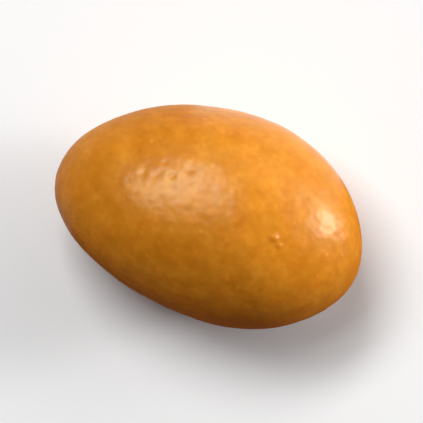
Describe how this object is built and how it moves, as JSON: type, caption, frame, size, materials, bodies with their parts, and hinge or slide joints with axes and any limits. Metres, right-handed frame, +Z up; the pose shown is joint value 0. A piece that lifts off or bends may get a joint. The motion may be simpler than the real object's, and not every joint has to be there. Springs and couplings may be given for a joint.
{
  "type": "salted caramel almond",
  "caption": "One whole almond in a thick, satin-glossy caramel coating, a lopsided egg that lies on its broad side.",
  "frame": {"origin": "on the surface that the almond lies on, under the middle of its outline", "axes": "+X along the almond from its narrow tip to its blunt end, +Y across it, +Z up through its thickness"},
  "size_m": [0.026, 0.0174, 0.0148],
  "materials": {
    "caramel_coating": "satin gloss, polished confectionery coating with faint mottling, fine dimples and pin-hole pits"
  },
  "bodies": {
    "root": {"almond": "caramel_coating"}
  },
  "joints": []
}
